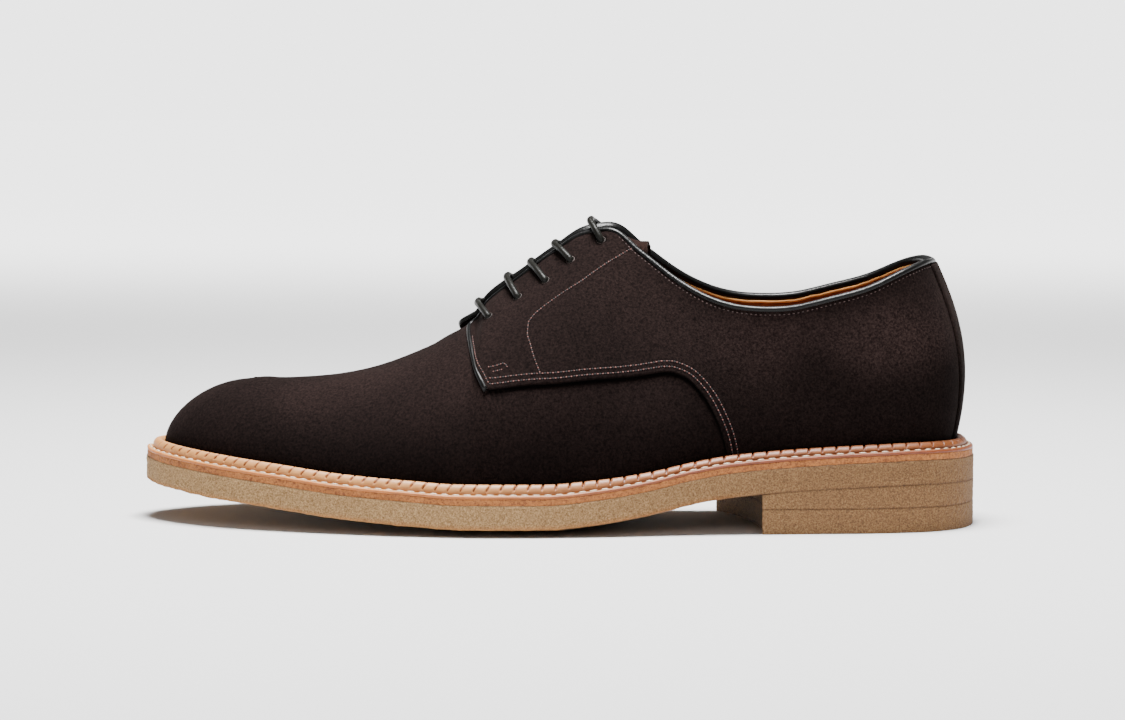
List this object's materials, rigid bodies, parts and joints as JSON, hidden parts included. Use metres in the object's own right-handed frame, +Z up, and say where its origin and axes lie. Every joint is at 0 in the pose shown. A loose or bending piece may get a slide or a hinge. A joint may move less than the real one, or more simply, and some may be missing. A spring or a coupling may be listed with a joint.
{
  "type": "suede derby shoe",
  "caption": "Left plain-toe derby shoe in dark brown suede, open lacing with round cord, raised notched welt, thick crepe sole and low stacked heel.",
  "frame": {"origin": "on the floor under the middle of the heel, on the heel's flat underside", "axes": "+X towards the toe along the sole, +Y towards the outer (lateral) side, +Z up"},
  "size_m": [0.307, 0.1076, 0.1119],
  "materials": {
    "suede": "very dark brown suede with a fine, matt nap",
    "grain_leather": "black grained leather, half gloss",
    "lining_leather": "smooth orange-brown lining leather",
    "welt_leather": "pale natural leather, smooth, notched along its bead",
    "edge_leather": "cut leather edge, rough and orange-tan",
    "crepe": "natural crepe rubber with a fine pebbled face",
    "waxed_cord": "black waxed round cord, half gloss"
  },
  "bodies": {
    "root": {"outsole": "crepe", "heel_top_piece": "crepe", "heel_lift": "crepe", "midsole": "edge_leather", "welt": "welt_leather", "insole": "lining_leather", "upper": "suede", "back_strip": "suede", "binding": "grain_leather", "tongue": "suede", "lace": "waxed_cord"}
  },
  "joints": []
}
